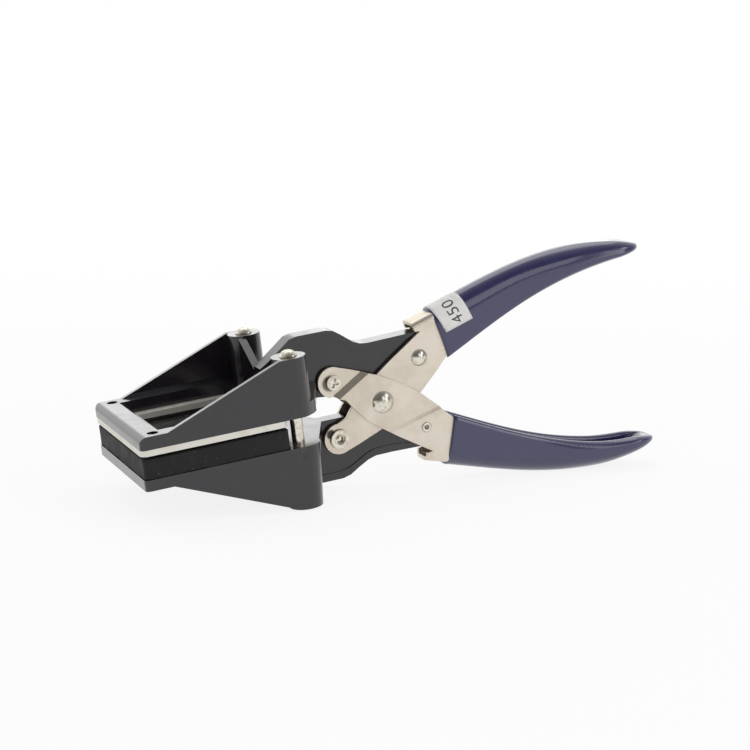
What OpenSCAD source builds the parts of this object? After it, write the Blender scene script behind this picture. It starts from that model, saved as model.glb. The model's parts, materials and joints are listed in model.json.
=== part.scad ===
// Hand-held photo cutter punch: two cast jaws on a parallel-action plier linkage.
// The parts are laid out in the tool's own axes, with the main rivet at the origin,
// X from the head to the grips, Y across the tool and Z up. Each part is then
// tipped by place(), so that the tool rests on its two feet and its lower grip.

/* [Linkage] */
// Distance from the main rivet to each front pin
front_link = 23.6; // [22.8:0.1:25]
// Angle of the front links from the tool's axis with the tool open
open_angle = 30.8; // [30:0.1:32]
// Distance from the main rivet to each rear slot pin
rear_link = 24.2; // [23.2:0.1:25.5]
// Angle by which the rear links are steeper than the front ones
rear_extra = 7.9; // [7:0.1:9]
// Distance that the upper head comes down in one squeeze
travel = 4; // [3:0.1:4.4]

/* [Die and punch] */
// Length of the cut photo, along the tool
cut_l = 35; // [30:0.5:37]
// Width of the cut photo, across the tool
cut_w = 45; // [38:0.5:47]
// Centre of the cut, forward of the main rivet
cut_x = 79.1; // [78.5:0.1:79.8]
// Thickness of the die plate
die_t = 2.5; // [2:0.1:3]
// Radius of the die plate's corners
die_corner_r = 3; // [1.5:0.1:4]
// Height of the die plate's lower face above the main rivet
die_z = 5.7; // [5:0.1:6.2]
// Clearance between the punch and the die on each side
punch_gap = 0.05; // [0.03:0.01:0.1]
// Depth of the punch's top below the top of the pad
punch_recess = 0.3; // [0.1:0.1:1]
// Paper gap between the pad and the die plate
paper_gap = 1.2; // [0.8:0.1:2]
// Clearance between the pad and the punch
pad_gap = 0.3; // [0.2:0.1:0.6]

/* [Head] */
// Front face of the castings, forward of the main rivet
head_front = 111.2; // [109:0.1:114]
// Rear edge of the die plate and the pad, forward of the main rivet
die_rear = 50.6; // [50.2:0.1:51.5]
// Width of the head
head_w = 68.8; // [67:0.1:72]
// Thickness of the upper casting's plate
upper_plate_t = 5.3; // [4.5:0.1:6.5]
// Thickness of the lower casting's plate
lower_plate_t = 4.5; // [4.2:0.1:6]
// Depth of the lower casting's top face below the main rivet
deck_z = 3.7; // [3.5:0.1:4]
// Thickness of the side walls
wall_t = 2.2; // [1.8:0.1:3]
// Front end of the side walls, behind the front face
wall_start = 11.4; // [9:0.1:13]
// Width of the ledge inside each side wall
ledge_w = 5.2; // [4.9:0.1:6]
// Width of the front strip of the upper casting
strip_l = 9; // [8.5:0.1:10]
// Rear end of the upper casting's window, forward of the main rivet
window_rear = 55.9; // [55.5:0.1:57]
// Radius of the castings' upright corners
corner_r = 2; // [1:0.1:3]
// Radius of the upper casting's front top edge
nose_r = 3; // [2:0.1:4]

/* [Bosses] */
// Distance of the guide pins forward of the main rivet
boss_x = 45.3; // [44.6:0.1:46]
// Radius of the rear bosses
boss_r = 6.9; // [6.3:0.1:7.2]
// Height of the upper boss tops above the main rivet
boss_top = 32.4; // [31:0.1:34]
// Depth of the feet below the main rivet
foot_z = 29.5; // [28.5:0.1:31]
// Thickness of the cross walls
cross_t = 3.2; // [2.5:0.1:4]
// Front face of the cross walls, forward of the main rivet
cross_x = 49.8; // [49.3:0.1:50.2]
// Reach of the castings' rear edge behind the upper bosses
rear_lip = 1.9; // [1.2:0.1:2.4]
// Height above the deck of the cross walls beside the arm
cross_low = 7; // [5:0.1:9]

/* [Guide pins] */
// Radius of the guide pins
pin_r = 2.5; // [2:0.05:3]
// Depth of the guide pins in the lower bosses
pin_seat = 18; // [12:0.5:20]
// Radius of the guide pins' domed heads
dome_r = 3.65; // [3.4:0.05:4.2]
// Height of the guide pins' domed heads
dome_h = 2.4; // [1.5:0.1:3]
// Wall of the guide bushes
bush_t = 1.2; // [0.8:0.1:1.6]
// Length of the guide bushes
bush_l = 14; // [10:0.5:16]
// Running clearance of pins and rivets, on the radius
run_gap = 0.06; // [0.03:0.01:0.09]

/* [Arms] */
// Thickness of the jaw arms
arm_t = 8; // [7.4:0.1:8.6]
// Depth of the shallow pockets in the arms' sides
pocket_d = 0.5; // [0.3:0.1:0.8]
// Width of the raised rim along the arms' outer edges
rim_w = 3.2; // [2.5:0.1:4]
// Clear height from the main rivet to each arm's inner edge
arm_clear = 9; // [8.8:0.1:9.6]
// Height of the upper arm's hump above the main rivet
hump_z = 33.8; // [32:0.1:35]
// Height of the upper arm's neck above the main rivet
neck_z = 25.3; // [24.6:0.1:26]
// Depth of the lower arm's belly below the main rivet
belly_z = 29.6; // [28:0.1:31]
// Depth of the lower arm's neck below the main rivet
lower_neck_z = 23; // [22.5:0.1:24]
// Radius of the arms' tails round the slots
tail_r = 7.2; // [6.5:0.1:7.6]

/* [Handles] */
// Thickness of the handles' plated steel
steel_t = 1.6; // [1.3:0.1:1.9]
// Side clearance between flat parts that slide on each other
side_gap = 0.12; // [0.08:0.01:0.2]
// Radius of the handles' front noses
nose_plate_r = 6.5; // [6:0.1:7]
// Width of each joggle
joggle_w = 2.4; // [2:0.1:3]

/* [Grips] */
// Thickness of the vinyl outside the steel
grip_t = 1.3; // [1.1:0.1:1.6]
// Thickness of each finished rim, vinyl and steel together
rim_t = 3.5; // [3.3:0.1:4]
// Radius of the grips' outer corners
grip_r = 4.2; // [3.6:0.1:4.6]
// Widening of each grip's tip on either side
tip_flare = 0.5; // [0:0.1:1]
// Share of the grip's length that the steel reaches
steel_reach = 0.8; // [0.7:0.01:0.84]
// Thickness of the label
label_t = 0.15; // [0.1:0.01:0.25]
// Depth of the label down each side of the grip
label_d = 11.5; // [9:0.5:14]

/* [Rivets and screws] */
// Radius of the main rivet's shank
main_r = 3.5; // [3:0.1:4]
// Radius of the main rivet's domes
main_dome_r = 4.6; // [4.3:0.1:5]
// Height of the main rivet's domes
main_dome_h = 1.9; // [1.2:0.1:2.5]
// Radius of the front screw's shank
screw_r = 2.5; // [2.2:0.1:2.8]
// Radius of the front screw's head
screw_head_r = 3.1; // [2.9:0.1:3.6]
// Height of the front screw's head
screw_head_h = 1.5; // [1.2:0.1:2]
// Radius of the front rivet's shank
ring_r = 3; // [2.7:0.1:3.2]
// Radius of the front rivet's ring head
ring_head_r = 3.95; // [3.6:0.05:4.4]
// Radius of the hollow in the front rivet's head
ring_hole_r = 2.3; // [1.8:0.05:2.5]
// Height of the front rivet's ring head
ring_head_h = 1; // [0.8:0.1:1.4]
// Radius of the upper slot rivet's shank
slot_r = 2.2; // [2:0.1:2.5]
// Radius of the upper slot rivet's domes
slot_dome_r = 3.4; // [3:0.1:3.8]
// Height of the upper slot rivet's domes
slot_dome_h = 1.5; // [1:0.1:2]
// Radius of the lower slot rivet's shank
hollow_r = 2; // [1.8:0.1:2.2]
// Radius of the hole in the lower slot rivet's ends
hollow_hole_r = 1; // [0.6:0.1:1.2]

/* [Return spring] */
// Thickness of the spring's wire
wire_d = 1.1; // [0.9:0.05:1.2]
// Mean radius of the coil
coil_r = 5.95; // [5.9:0.05:6.1]
// Number of curls
curls = 3; // [2:1:3]
// Distance from one curl to the next
curl_pitch = 1.65; // [1.62:0.01:1.7]

/* [Hidden] */
$fn = 64;
eps = 0.01;
big = 300;

// Linkage: angles, pin places and the paths of the slot pins
closed_angle = asin(sin(open_angle) - travel / (2 * front_link));
front_pin = [-front_link * cos(open_angle), front_link * sin(open_angle)];
function rear_pin(a) = [rear_link * cos(a + rear_extra), rear_link * sin(a + rear_extra)];
function rear_pin_from_front(a) = rear_pin(a) + front_link * [cos(a), -sin(a)];
slot_start = front_pin + rear_pin_from_front(open_angle);
slot_end = front_pin + rear_pin_from_front(closed_angle);
slot_play = 0.1;

// Levels across the tool, from its middle plane
inner_y = arm_t / 2 + side_gap;
inner_out_y = inner_y + steel_t;
outer_y = inner_out_y + side_gap;
outer_out_y = outer_y + steel_t;
grip_half_w = inner_out_y + grip_t;

// Levels of the head
half_w = head_w / 2;
plate_z = die_z + die_t;
plate_top = plate_z + upper_plate_t;
pad_top = die_z - paper_gap;
punch_top = pad_top - punch_recess;
deck_bottom = deck_z + lower_plate_t;
boss_proud = 0.06;
boss_y = half_w - boss_r + boss_proud;
window_front = head_front - strip_l;
window_half = half_w - wall_t - ledge_w;
wall_front = head_front - wall_start;
lower_wall_z = 28.4;
flare_x = 26.8;
rear_edge = boss_x - boss_r - rear_lip;

// Screws of the head
die_screw_r = 1.5;
die_head_r = 1.95;
die_head_h = 1.5;
recess_h = 2.4;
rear_screw_y = 14;
die_screws_at = [[-(head_front - strip_l / 2 - 2.2), half_w - wall_t - ledge_w / 2 + 0.1],
    [-(window_rear + cross_x) / 2, rear_screw_y]];
punch_screw_r = 2;
punch_head_r = 3.6;
punch_head_h = 2.2;
punch_screw_xs = [cut_x - 9, cut_x + 9];
thread_d = 6;

// Cubic curve through four control points
function bezier(p, t) =
    pow(1 - t, 3) * p[0] + 3 * t * pow(1 - t, 2) * p[1] + 3 * t * t * (1 - t) * p[2] + pow(t, 3) * p[3];

// Upper grip seen from the side: back line and rim line
grip_back = [[23, 33], [52, 41], [88, 57], [127.3, 45]];
grip_rim = [[32.6, 12.9], [58, 25], [84, 40], [126.6, 41.3]];
function back_at(t) = bezier(grip_back, t);
function rim_at(t) = bezier(grip_rim, t);
function depth_at(t) = norm(rim_at(t) - back_at(t));
function inward_at(t) = (rim_at(t) - back_at(t)) / depth_at(t);
function smooth(x) = let (c = min(max(x, 0), 1)) c * c * (3 - 2 * c);
function half_w_at(t) = grip_half_w + tip_flare * smooth((t - 0.45) / 0.4);

// Tilt at which the feet and the lower grip touch the ground
foot_toe = [-boss_x - boss_r, -foot_z];
belly = [for (t = [0.3:0.02:1]) [back_at(t)[0], -back_at(t)[1]]];
tilt = max([for (p = belly) atan2(foot_toe[1] - p[1], p[0] - foot_toe[0])]);

// Where a point of the tool's side view stands once the tool is tipped
function tipped(p) = [p[0] * cos(tilt) - p[1] * sin(tilt), p[0] * sin(tilt) + p[1] * cos(tilt)];
ground = tipped(foot_toe)[1];
nose_centre = [-head_front + nose_r, plate_top - nose_r];
box_front = min(tipped(nose_centre)[0] - nose_r, tipped([-head_front, -deck_bottom])[0]);
box_back = max([for (p = belly) tipped(p)[0]]);
shift_x = -(box_front + box_back) / 2;

module place() {
    translate([shift_x, 0, -ground]) rotate([0, -tilt, 0]) children();
}

// Turns a shape drawn in the side view (X, Z) into a slab from y0 to y1
module slab(y0, y1) {
    translate([0, y1, 0]) rotate([90, 0, 0]) linear_extrude(y1 - y0) children();
}

// Shaft across the tool at a point of the side view
module cross_pin(p, r, y0, y1) {
    translate([p[0], y1, p[1]]) rotate([90, 0, 0]) cylinder(r = r, h = y1 - y0);
}

// Round-ended slot across the tool; its flats lie a hair inside the round ends
module cross_slot(p, q, r, half) {
    d = q - p;
    flat = r - 0.01;
    slab(-half, half) translate(p) rotate(atan2(d[1], d[0])) {
        circle(r = r);
        translate([norm(d), 0]) circle(r = r);
        translate([0, -flat]) square([norm(d), 2 * flat]);
    }
}

// Domed head on the far side of a face at y, or on the near side when side is -1
module dome(p, r, h, y, side) {
    sphere_r = (r * r + h * h) / (2 * h);
    translate([p[0], y, p[1]]) rotate([-90 * side, 0, 0]) intersection() {
        translate([0, 0, h - sphere_r]) sphere(r = sphere_r);
        cylinder(r = r + 1, h = h + 1);
    }
}

// Flat plate with round upright corners, from x0 to x1
module rounded_plate(x0, x1, half, z0, z1, r) {
    translate([x0 + r, -half, z0]) cube([x1 - x0 - 2 * r, 2 * half, z1 - z0]);
    translate([x0, -half + r, z0]) cube([x1 - x0, 2 * (half - r), z1 - z0]);
    for (x = [x0 + r, x1 - r], y = [-half + r, half - r])
        translate([x, y, z0]) cylinder(r = r, h = z1 - z0);
}

// Head casting, drawn as the upper one: plate, side walls, bosses and cross wall.
// base is the plate's face towards the die, top the end of the bosses and wall_z
// the height of the side walls where they meet the bosses. lean is how far the
// root of each boss reaches back beyond its end.
module head(base, plate_t, top, wall_z, front_r, lean) {
    face = base + plate_t;
    difference() {
        union() {
            rounded_plate(-head_front, -boss_x, half_w, base, face, corner_r);
            translate([0, 0, base]) linear_extrude(plate_t) for (s = [-1, 1]) polygon([
                [-boss_x - 4, 0], [-boss_x - 4, s * boss_y], [-rear_edge - 4.5, s * (half_w - 1.4)],
                [-rear_edge - 2, s * (half_w - 3.4)], [-rear_edge, s * (half_w - 5.9)],
                [-rear_edge, s * (half_w - 7.4)], [-flare_x, s * arm_t / 2], [-flare_x, 0]]);
            for (s = [-1, 1]) {
                translate([-boss_x, s * boss_y, base]) boss(top - base, lean);
                slab(s * (half_w - wall_t / 2) - wall_t / 2, s * (half_w - wall_t / 2) + wall_t / 2)
                    polygon([[-wall_front, face - eps], [-boss_x + 0.5, face - eps], [-boss_x + 0.5, wall_z],
                        [-boss_x - boss_r + 1, wall_z]]);
            }
            cross_wall(face, top);
        }
        if (front_r > 0) translate([-head_front, -half_w - 1, face]) nose_cut(front_r);
    }
}

// Boss on the casting's plate, straight or leaning back towards its root
module boss(h, lean) {
    if (lean == 0) cylinder(r = boss_r, h = h);
    else hull() {
        translate([lean, 0, 0]) cylinder(r = boss_r, h = eps, $fn = 36);
        translate([0, 0, h - eps]) cylinder(r = boss_r, h = eps, $fn = 36);
    }
}

// Upright wall between the bosses, low in the middle where the arm passes through
module cross_wall(face, top) {
    y = boss_y;
    low = face + cross_low;
    translate([-cross_x, 0, 0]) rotate([90, 0, 90]) linear_extrude(cross_t) polygon([
        [-y, face - eps], [y, face - eps], [y, top - 0.8], [y - boss_r + 0.6, top - 0.8],
        [arm_t / 2 - 1, low], [-arm_t / 2 + 1, low], [-y + boss_r - 0.6, top - 0.8], [-y, top - 0.8]]);
}

// What is cut away to round the front top edge
module nose_cut(r) {
    difference() {
        translate([-1, 0, -r]) cube([r + 1, head_w + 2, r + 1]);
        translate([r, -1, -r]) rotate([-90, 0, 0]) cylinder(r = r, h = head_w + 4);
    }
}

// Side view of the upper arm; low is its edge near the casting
module upper_arm_outline() {
    polygon([[-50, 11], [-50, neck_z - 2], [-46, neck_z + 0.5], [-36.2, hump_z - 0.7], [-33, hump_z],
        [-20, hump_z], [-17, hump_z - 0.7], [-14.2, hump_z - 2.6], [-8.8, neck_z + 1.6],
        [-6, neck_z + 0.4], [-2.5, neck_z], [4, neck_z + 0.2], [slot_start[0], neck_z + 0.6],
        [slot_end[0] + 2.6, slot_end[1] + tail_r - 1.1], [slot_end[0], slot_end[1] - tail_r + 0.8],
        [slot_start[0] - 4, arm_clear], [-7, arm_clear], [-13, 7], [-20, 5.9], [-27, 6.6],
        [-31, die_z + 0.4], [-40, plate_z], [-46, plate_z]]);
    translate(slot_end) circle(r = tail_r);
}

// Side view of the lower arm
module lower_arm_outline() {
    polygon([[-50, -11], [-50, -lower_neck_z], [-46, -lower_neck_z - 2.6], [-38.5, -belly_z],
        [-20, -belly_z], [-16.4, -belly_z + 0.9], [-12.6, -belly_z + 3.2], [-8, -lower_neck_z - 1],
        [-4.5, -lower_neck_z], [3, -lower_neck_z + 0.1], [slot_start[0], -lower_neck_z - 0.3],
        [slot_end[0] + 2.6, -slot_end[1] - tail_r + 1.1], [slot_end[0], -slot_end[1] + tail_r - 0.8],
        [slot_start[0] - 4, -arm_clear], [-7, -arm_clear], [-13.5, -deck_z - 0.6], [-16, -deck_z],
        [-46, -deck_z]]);
    translate([slot_end[0], -slot_end[1]]) circle(r = tail_r);
}

// Shallow pocket in both sides of an arm, inside its rim; z_sign is -1 on the lower arm
module arm_pockets(outer, z_sign) {
    step = [for (p = outer) [p[0], z_sign * (p[1] - rim_w)]];
    edge = [[60, -z_sign * 2], [-31, -z_sign * 2]];
    for (s = [-1, 1]) difference() {
        slab(s * (arm_t / 2 + 0.5) - 0.5 - pocket_d, s * (arm_t / 2 + 0.5) + 0.5 + pocket_d)
            polygon(concat(step, edge));
        cross_pin([front_pin[0], z_sign * front_pin[1]], nose_plate_r - 1, -arm_t, arm_t);
        cross_slot([slot_start[0], z_sign * slot_start[1]], [slot_end[0], z_sign * slot_end[1]],
            slot_r + 2.5, arm_t);
    }
}

upper_rim = [[-31, hump_z - 2], [-19.5, hump_z], [-14.6, hump_z - 2.4], [-9.6, neck_z + 2.2],
    [-6, neck_z + 0.7], [-1.6, neck_z], [4, neck_z + 0.2], [19, neck_z + 2.4], [60, neck_z + 3]];
lower_rim = [[-31, belly_z], [-20, belly_z], [-16, belly_z - 1.1], [-8.2, lower_neck_z + 1.3],
    [-4.5, lower_neck_z + 0.2], [3, lower_neck_z], [19, lower_neck_z + 1.6], [60, lower_neck_z + 3]];

module upper_jaw() {
    color([0.12, 0.12, 0.13]) place() difference() {
        union() {
            head(plate_z, upper_plate_t, boss_top, boss_top, nose_r, 0);
            difference() {
                slab(-arm_t / 2, arm_t / 2) upper_arm_outline();
                arm_pockets(upper_rim, 1);
            }
        }
        cross_pin(front_pin, screw_r + run_gap, -arm_t, arm_t);
        cross_slot(slot_start, slot_end, slot_r + slot_play, arm_t);
        translate([-window_front, -window_half, plate_z - 1])
            cube([window_front - window_rear, 2 * window_half, upper_plate_t + 2]);
        for (s = [-1, 1]) {
            translate([-boss_x, s * boss_y, plate_z - 1]) cylinder(r = pin_r + bush_t, h = bush_l + 1);
            translate([-boss_x, s * boss_y, plate_z]) cylinder(r = pin_r + 0.3, h = boss_top);
            for (p = die_screws_at) translate([p[0], s * p[1], 0]) {
                cylinder(r = die_screw_r + run_gap, h = big);
                translate([0, 0, plate_top - recess_h]) cylinder(r = die_head_r + 0.3, h = big);
            }
        }
    }
}

module lower_jaw() {
    pin_z = -deck_z - pin_seat;
    color([0.12, 0.12, 0.13]) place() difference() {
        union() {
            mirror([0, 0, 1]) head(deck_z, lower_plate_t, foot_z, lower_wall_z, 0, rear_lip);
            difference() {
                slab(-arm_t / 2, arm_t / 2) lower_arm_outline();
                arm_pockets(lower_rim, -1);
            }
        }
        cross_pin([front_pin[0], -front_pin[1]], ring_r + run_gap, -arm_t, arm_t);
        cross_slot([slot_start[0], -slot_start[1]], [slot_end[0], -slot_end[1]], hollow_r + slot_play, arm_t);
        for (s = [-1, 1]) translate([-boss_x, s * boss_y, pin_z]) cylinder(r = pin_r, h = pin_seat + 1);
        for (x = punch_screw_xs) {
            translate([-x, 0, -deck_bottom - 1]) cylinder(r = punch_screw_r + run_gap, h = lower_plate_t + 2);
            translate([-x, 0, -deck_bottom - 1]) cylinder(r = punch_head_r + 0.3, h = punch_head_h + 1.2);
        }
    }
}

module die_plate() {
    color([0.72, 0.72, 0.7]) place() difference() {
        rounded_plate(-head_front, -die_rear, half_w, die_z, plate_z, die_corner_r);
        translate([-cut_x - cut_l / 2, -cut_w / 2, die_z - 1]) cube([cut_l, cut_w, die_t + 2]);
        for (s = [-1, 1], p = die_screws_at)
            translate([p[0], s * p[1], die_z - 1]) cylinder(r = die_screw_r, h = die_t + 2);
    }
}

// Screw with its axis upright and its head above z
module upright_screw(r, z0, z, head_r, head_h, key_r) {
    difference() {
        union() {
            translate([0, 0, z0]) cylinder(r = r, h = z - z0 + eps);
            translate([0, 0, z]) cylinder(r = head_r, h = head_h);
        }
        translate([0, 0, z + head_h * 0.4]) cylinder(r = key_r, h = head_h, $fn = 6);
    }
}

module die_screws() {
    color([0.3, 0.3, 0.32]) place() for (s = [-1, 1], p = die_screws_at) translate([p[0], s * p[1], 0])
        upright_screw(die_screw_r, die_z + 0.3, plate_top - recess_h, die_head_r, die_head_h, 1.2);
}

module punch() {
    l = cut_l - 2 * punch_gap;
    w = cut_w - 2 * punch_gap;
    color([0.7, 0.7, 0.7]) place() difference() {
        translate([-cut_x - l / 2, -w / 2, -deck_z]) cube([l, w, punch_top + deck_z]);
        for (x = punch_screw_xs) translate([-x, 0, -deck_z - 1]) cylinder(r = punch_screw_r, h = thread_d + 1);
    }
}

module punch_screws() {
    color([0.3, 0.3, 0.32]) place() for (x = punch_screw_xs) translate([-x, 0, 0]) mirror([0, 0, 1])
        upright_screw(punch_screw_r, deck_z - thread_d + 0.5, deck_bottom - punch_head_h, punch_head_r,
            punch_head_h - 0.3, 1.7);
}

module stripper_pad() {
    color([0.18, 0.18, 0.17]) place() difference() {
        rounded_plate(-head_front + 0.4, -die_rear, half_w - 0.4, -deck_z, pad_top, corner_r);
        translate([-cut_x - cut_l / 2 - pad_gap, -cut_w / 2 - pad_gap, -deck_z - 1])
            cube([cut_l + 2 * pad_gap, cut_w + 2 * pad_gap, big]);
    }
}

// Guide pin with its domed head resting on the upper boss
module guide_pin(s) {
    seat = boss_top + side_gap;
    sphere_r = (dome_r * dome_r + dome_h * dome_h) / (2 * dome_h);
    color([0.78, 0.77, 0.74]) place() translate([-boss_x, s * boss_y, 0]) {
        translate([0, 0, -deck_z - pin_seat]) cylinder(r = pin_r, h = seat + deck_z + pin_seat + eps);
        translate([0, 0, seat]) intersection() {
            translate([0, 0, dome_h - sphere_r]) sphere(r = sphere_r);
            cylinder(r = dome_r + 1, h = dome_h + 1);
        }
    }
}

module guide_bush(s) {
    color([0.7, 0.55, 0.3]) place() translate([-boss_x, s * boss_y, plate_z]) difference() {
        cylinder(r = pin_r + bush_t, h = bush_l);
        translate([0, 0, -1]) cylinder(r = pin_r + run_gap, h = bush_l + 2);
    }
}

module guide_pin_near() { guide_pin(-1); }
module guide_pin_far() { guide_pin(1); }
module guide_bush_near() { guide_bush(-1); }
module guide_bush_far() { guide_bush(1); }

// Triangles between rings of n points, for m steps from ring to ring
function sides(m, n) = [for (i = [0:m - 1]) for (j = [0:n - 1]) let (k = (j + 1) % n)
    each [[i * n + j, i * n + k, (i + 1) * n + k], [i * n + j, (i + 1) * n + k, (i + 1) * n + j]]];

// Closed skin over convex rings of points that all have the same count
module skin(rings) {
    n = len(rings[0]);
    m = len(rings);
    polyhedron(points = [for (ring = rings) for (p = ring) p],
        faces = concat(sides(m - 1, n),
            [[for (j = [n - 1:-1:0]) j]],
            [[for (j = [0:n - 1]) (m - 1) * n + j]]));
}

// Closed skin of a trough, from rows of points along its outside and its inside
module trough(outer, inner) {
    n = len(outer[0]);
    ring = 2 * n;
    m = len(outer) - 1;
    last = m * ring;
    polyhedron(
        points = [for (i = [0:m]) each concat(outer[i], [for (j = [n - 1:-1:0]) inner[i][j]])],
        faces = concat(sides(m, ring),
            [for (j = [0:n - 2]) each [[j + 1, j, ring - 1 - j], [j + 1, ring - 1 - j, ring - 2 - j]]],
            [for (j = [0:n - 2]) each [[last + j, last + j + 1, last + ring - 1 - j],
                [last + j + 1, last + ring - 2 - j, last + ring - 1 - j]]]));
}

// Handles, drawn as handle B, whose grip is the upper one.
// The channel that each handle's two plates form round their web: a lip in front
// of the grip, then a run inside it. A station is a point on the channel's back,
// the direction into the channel, the depth of its legs and its half width.
channel_r = grip_r - grip_t;
steel_step = 0.1;
steel_ts = [for (t = [0:steel_step:steel_reach + 0.001]) t];
function steel_station(t) = [back_at(t) + grip_t * inward_at(t), inward_at(t), depth_at(t) - 2 * grip_t,
    half_w_at(t) - grip_t];
arc_steps = 5;
lip_l = 6.6;
lip_run = unit(steel_station(steel_step)[0] - steel_station(0)[0]);
lip_in = unit([0.27, -0.96]);
channel = concat(
    [[steel_station(0)[0] - lip_l * lip_run, lip_in, 3.8, inner_out_y],
        [steel_station(0)[0] - lip_l / 2 * lip_run, lip_in, 5.2, inner_out_y]],
    [for (t = steel_ts) steel_station(t)]);
function unit(v) = v / norm(v);
function arc_points(c, r, a0, a1, n) = [for (i = [0:n]) let (a = a0 + (a1 - a0) * i / n) c + r * [cos(a), sin(a)]];
// Line of points round a U-shaped section: down one leg, round the back, up the other
function u_line(d, w, r, floor_d) = concat([[d, -w]], arc_points([floor_d + r, r - w], r, -90, -180, arc_steps),
    arc_points([floor_d + r, w - r], r, 180, 90, arc_steps), [[d, w]]);
function at_station(st, q) = let (p = st[0] + q[0] * st[1]) [p[0], q[1], p[1]];

module web() {
    trough([for (st = channel) [for (q = u_line(st[2], st[3], channel_r, 0)) at_station(st, q)]],
        [for (st = channel) [for (q = u_line(st[2], st[3] - steel_t, channel_r - steel_t, steel_t))
            at_station(st, q)]]);
}

// Side view of the flat plates: they run into the channel's legs
plate_ts = [0, steel_step];
leg_line = [for (t = plate_ts) steel_station(t)[0] + (channel_r + 0.4) * inward_at(t)];
leg_ends = [for (t = plate_ts) steel_station(t)[0] + steel_station(t)[2] * inward_at(t)];
function reversed(a) = [for (i = [len(a) - 1:-1:0]) a[i]];

module handle_outline() {
    translate([front_pin[0], -front_pin[1]]) circle(r = nose_plate_r);
    polygon(concat([[-23.6, -17.7], [-19.4, -18.6], [-11.8, -16], [-1, -11.8], [9, -6.2], [17.5, -0.2],
        [25.4, 7.2]], leg_ends, reversed(leg_line), [[20.4, 25.9], [13.2, 21.2],
        [6.4, 16.8], [-1.3, 11.3], [-7.6, 6.2], [-13.8, -0.8], [-16, -3.9], [-20.8, -5.7]]));
}

// Both side plates of a handle, from y0 to y1 and mirrored
module both_plates(y0, y1) {
    slab(y0, y1) handle_outline();
    slab(-y1, -y0) handle_outline();
}

module handle_bores(front_r, rear_r) {
    cross_pin([front_pin[0], -front_pin[1]], front_r, -big, big);
    cross_pin(rear_pin(open_angle), rear_r, -big, big);
    cross_pin([0, 0], main_r + run_gap, -big, big);
}

module handle_b() {
    color([0.78, 0.75, 0.7]) place() difference() {
        union() {
            both_plates(inner_y, inner_out_y);
            web();
        }
        handle_bores(ring_r, slot_r);
    }
}

// Joggle lines of handle A, as a point on the line and its angle, in handle B's view
front_joggle = [[-20.9, -6.4], -31];
rear_joggle = [[7, 13.5], -14.1];

// Half of space on the grip side of a line in the side view, moved on by d
module beyond(line, d) {
    translate([line[0][0], 0, line[0][1]]) rotate([0, -line[1], 0])
        translate([-big, -big, d]) cube(2 * big);
}

// Slice of the side view, w wide, just beyond a line
module slice(line, d, w) {
    translate([line[0][0], 0, line[0][1]]) rotate([0, -line[1], 0])
        translate([-big, -big, d]) cube([2 * big, 2 * big, w]);
}

// Slanted stretch of one side plate between two levels
module ramp(line, d_inner, d_outer, s) {
    hull() {
        intersection() {
            scale([1, s, 1]) slab(inner_y, inner_out_y) handle_outline_near_joggles();
            slice(line, d_inner, 0.02);
        }
        intersection() {
            scale([1, s, 1]) slab(outer_y, outer_out_y) handle_outline_near_joggles();
            slice(line, d_outer, 0.02);
        }
    }
}

// The stretch of the outline that the joggles cross, with straight edges
module handle_outline_near_joggles() {
    intersection() {
        handle_outline();
        translate([-21, -30]) square([60, 60]);
    }
}

module handle_a() {
    color([0.78, 0.75, 0.7]) place() mirror([0, 0, 1]) difference() {
        union() {
            difference() {
                both_plates(inner_y, inner_out_y);
                difference() {
                    beyond(front_joggle, 0);
                    beyond(rear_joggle, 0);
                }
            }
            intersection() {
                both_plates(outer_y, outer_out_y);
                difference() {
                    beyond(front_joggle, joggle_w);
                    beyond(rear_joggle, -joggle_w);
                }
            }
            for (s = [-1, 1]) {
                ramp(front_joggle, -0.02, joggle_w, s);
                ramp(rear_joggle, 0, -joggle_w - 0.02, s);
            }
            web();
        }
        handle_bores(screw_r + run_gap, hollow_r);
    }
}

// Grip: a vinyl sleeve over the channel, swept along the back and rim lines.
// Each section has an outer line and a line of the same length round its hollow.
function lip_at(d) = min(0.9, d * 0.12);
function grip_outer(t, grow) = let (d = depth_at(t), w = half_w_at(t), r = min(grip_r, d * 0.45), lip = lip_at(d))
    concat([[d, lip - w], [d - 0.3 * lip, 0.3 * lip - w], [d - lip, -w]],
        arc_points([r, r - w], r + grow, -90, -180, arc_steps),
        arc_points([r, w - r], r + grow, 180, 90, arc_steps),
        [[d - lip, w], [d - 0.3 * lip, w - 0.3 * lip], [d, w - lip]]);
function grip_inner(t) =
    let (d = depth_at(t), lip = lip_at(d), wi = half_w_at(t) - rim_t,
        hollow = max(d - rim_t, 0.3) * (1 - smooth((t - 0.84) / 0.13)) + 0.1, low = min(lip, hollow * 0.5),
        r = min(1, hollow * 0.4))
    concat([[d, -wi - lip], [d - 0.3 * low, -wi - 0.3 * lip], [d - low, -wi]],
        arc_points([d - hollow + r, r - wi], r, -90, -180, arc_steps),
        arc_points([d - hollow + r, wi - r], r, 180, 90, arc_steps),
        [[d - low, wi], [d - 0.3 * low, wi + 0.3 * lip], [d, wi + lip]]);
function on_grip(t, q) = let (p = back_at(t) + q[0] * inward_at(t)) [p[0], q[1], p[1]];

// Stations along the grip: a share of its length, and an angle round its end, where
// each section is drawn in about its middle
tip_start = 0.945;
// The grip starts just behind the channel's first full section
grip_start = 0.002;
grip_stations = concat([for (t = [0:0.05:0.901]) [max(t, grip_start), 0]],
    [for (a = [0, 25, 45, 62, 75, 85]) [tip_start + (1 - tip_start) * sin(a), a]]);
function drawn_in(st, q) = let (mid = depth_at(st[0]) / 2, sd = pow(cos(st[1]), 0.4))
    on_grip(st[0], [mid + (q[0] - mid) * sd, q[1] * cos(st[1])]);

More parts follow.
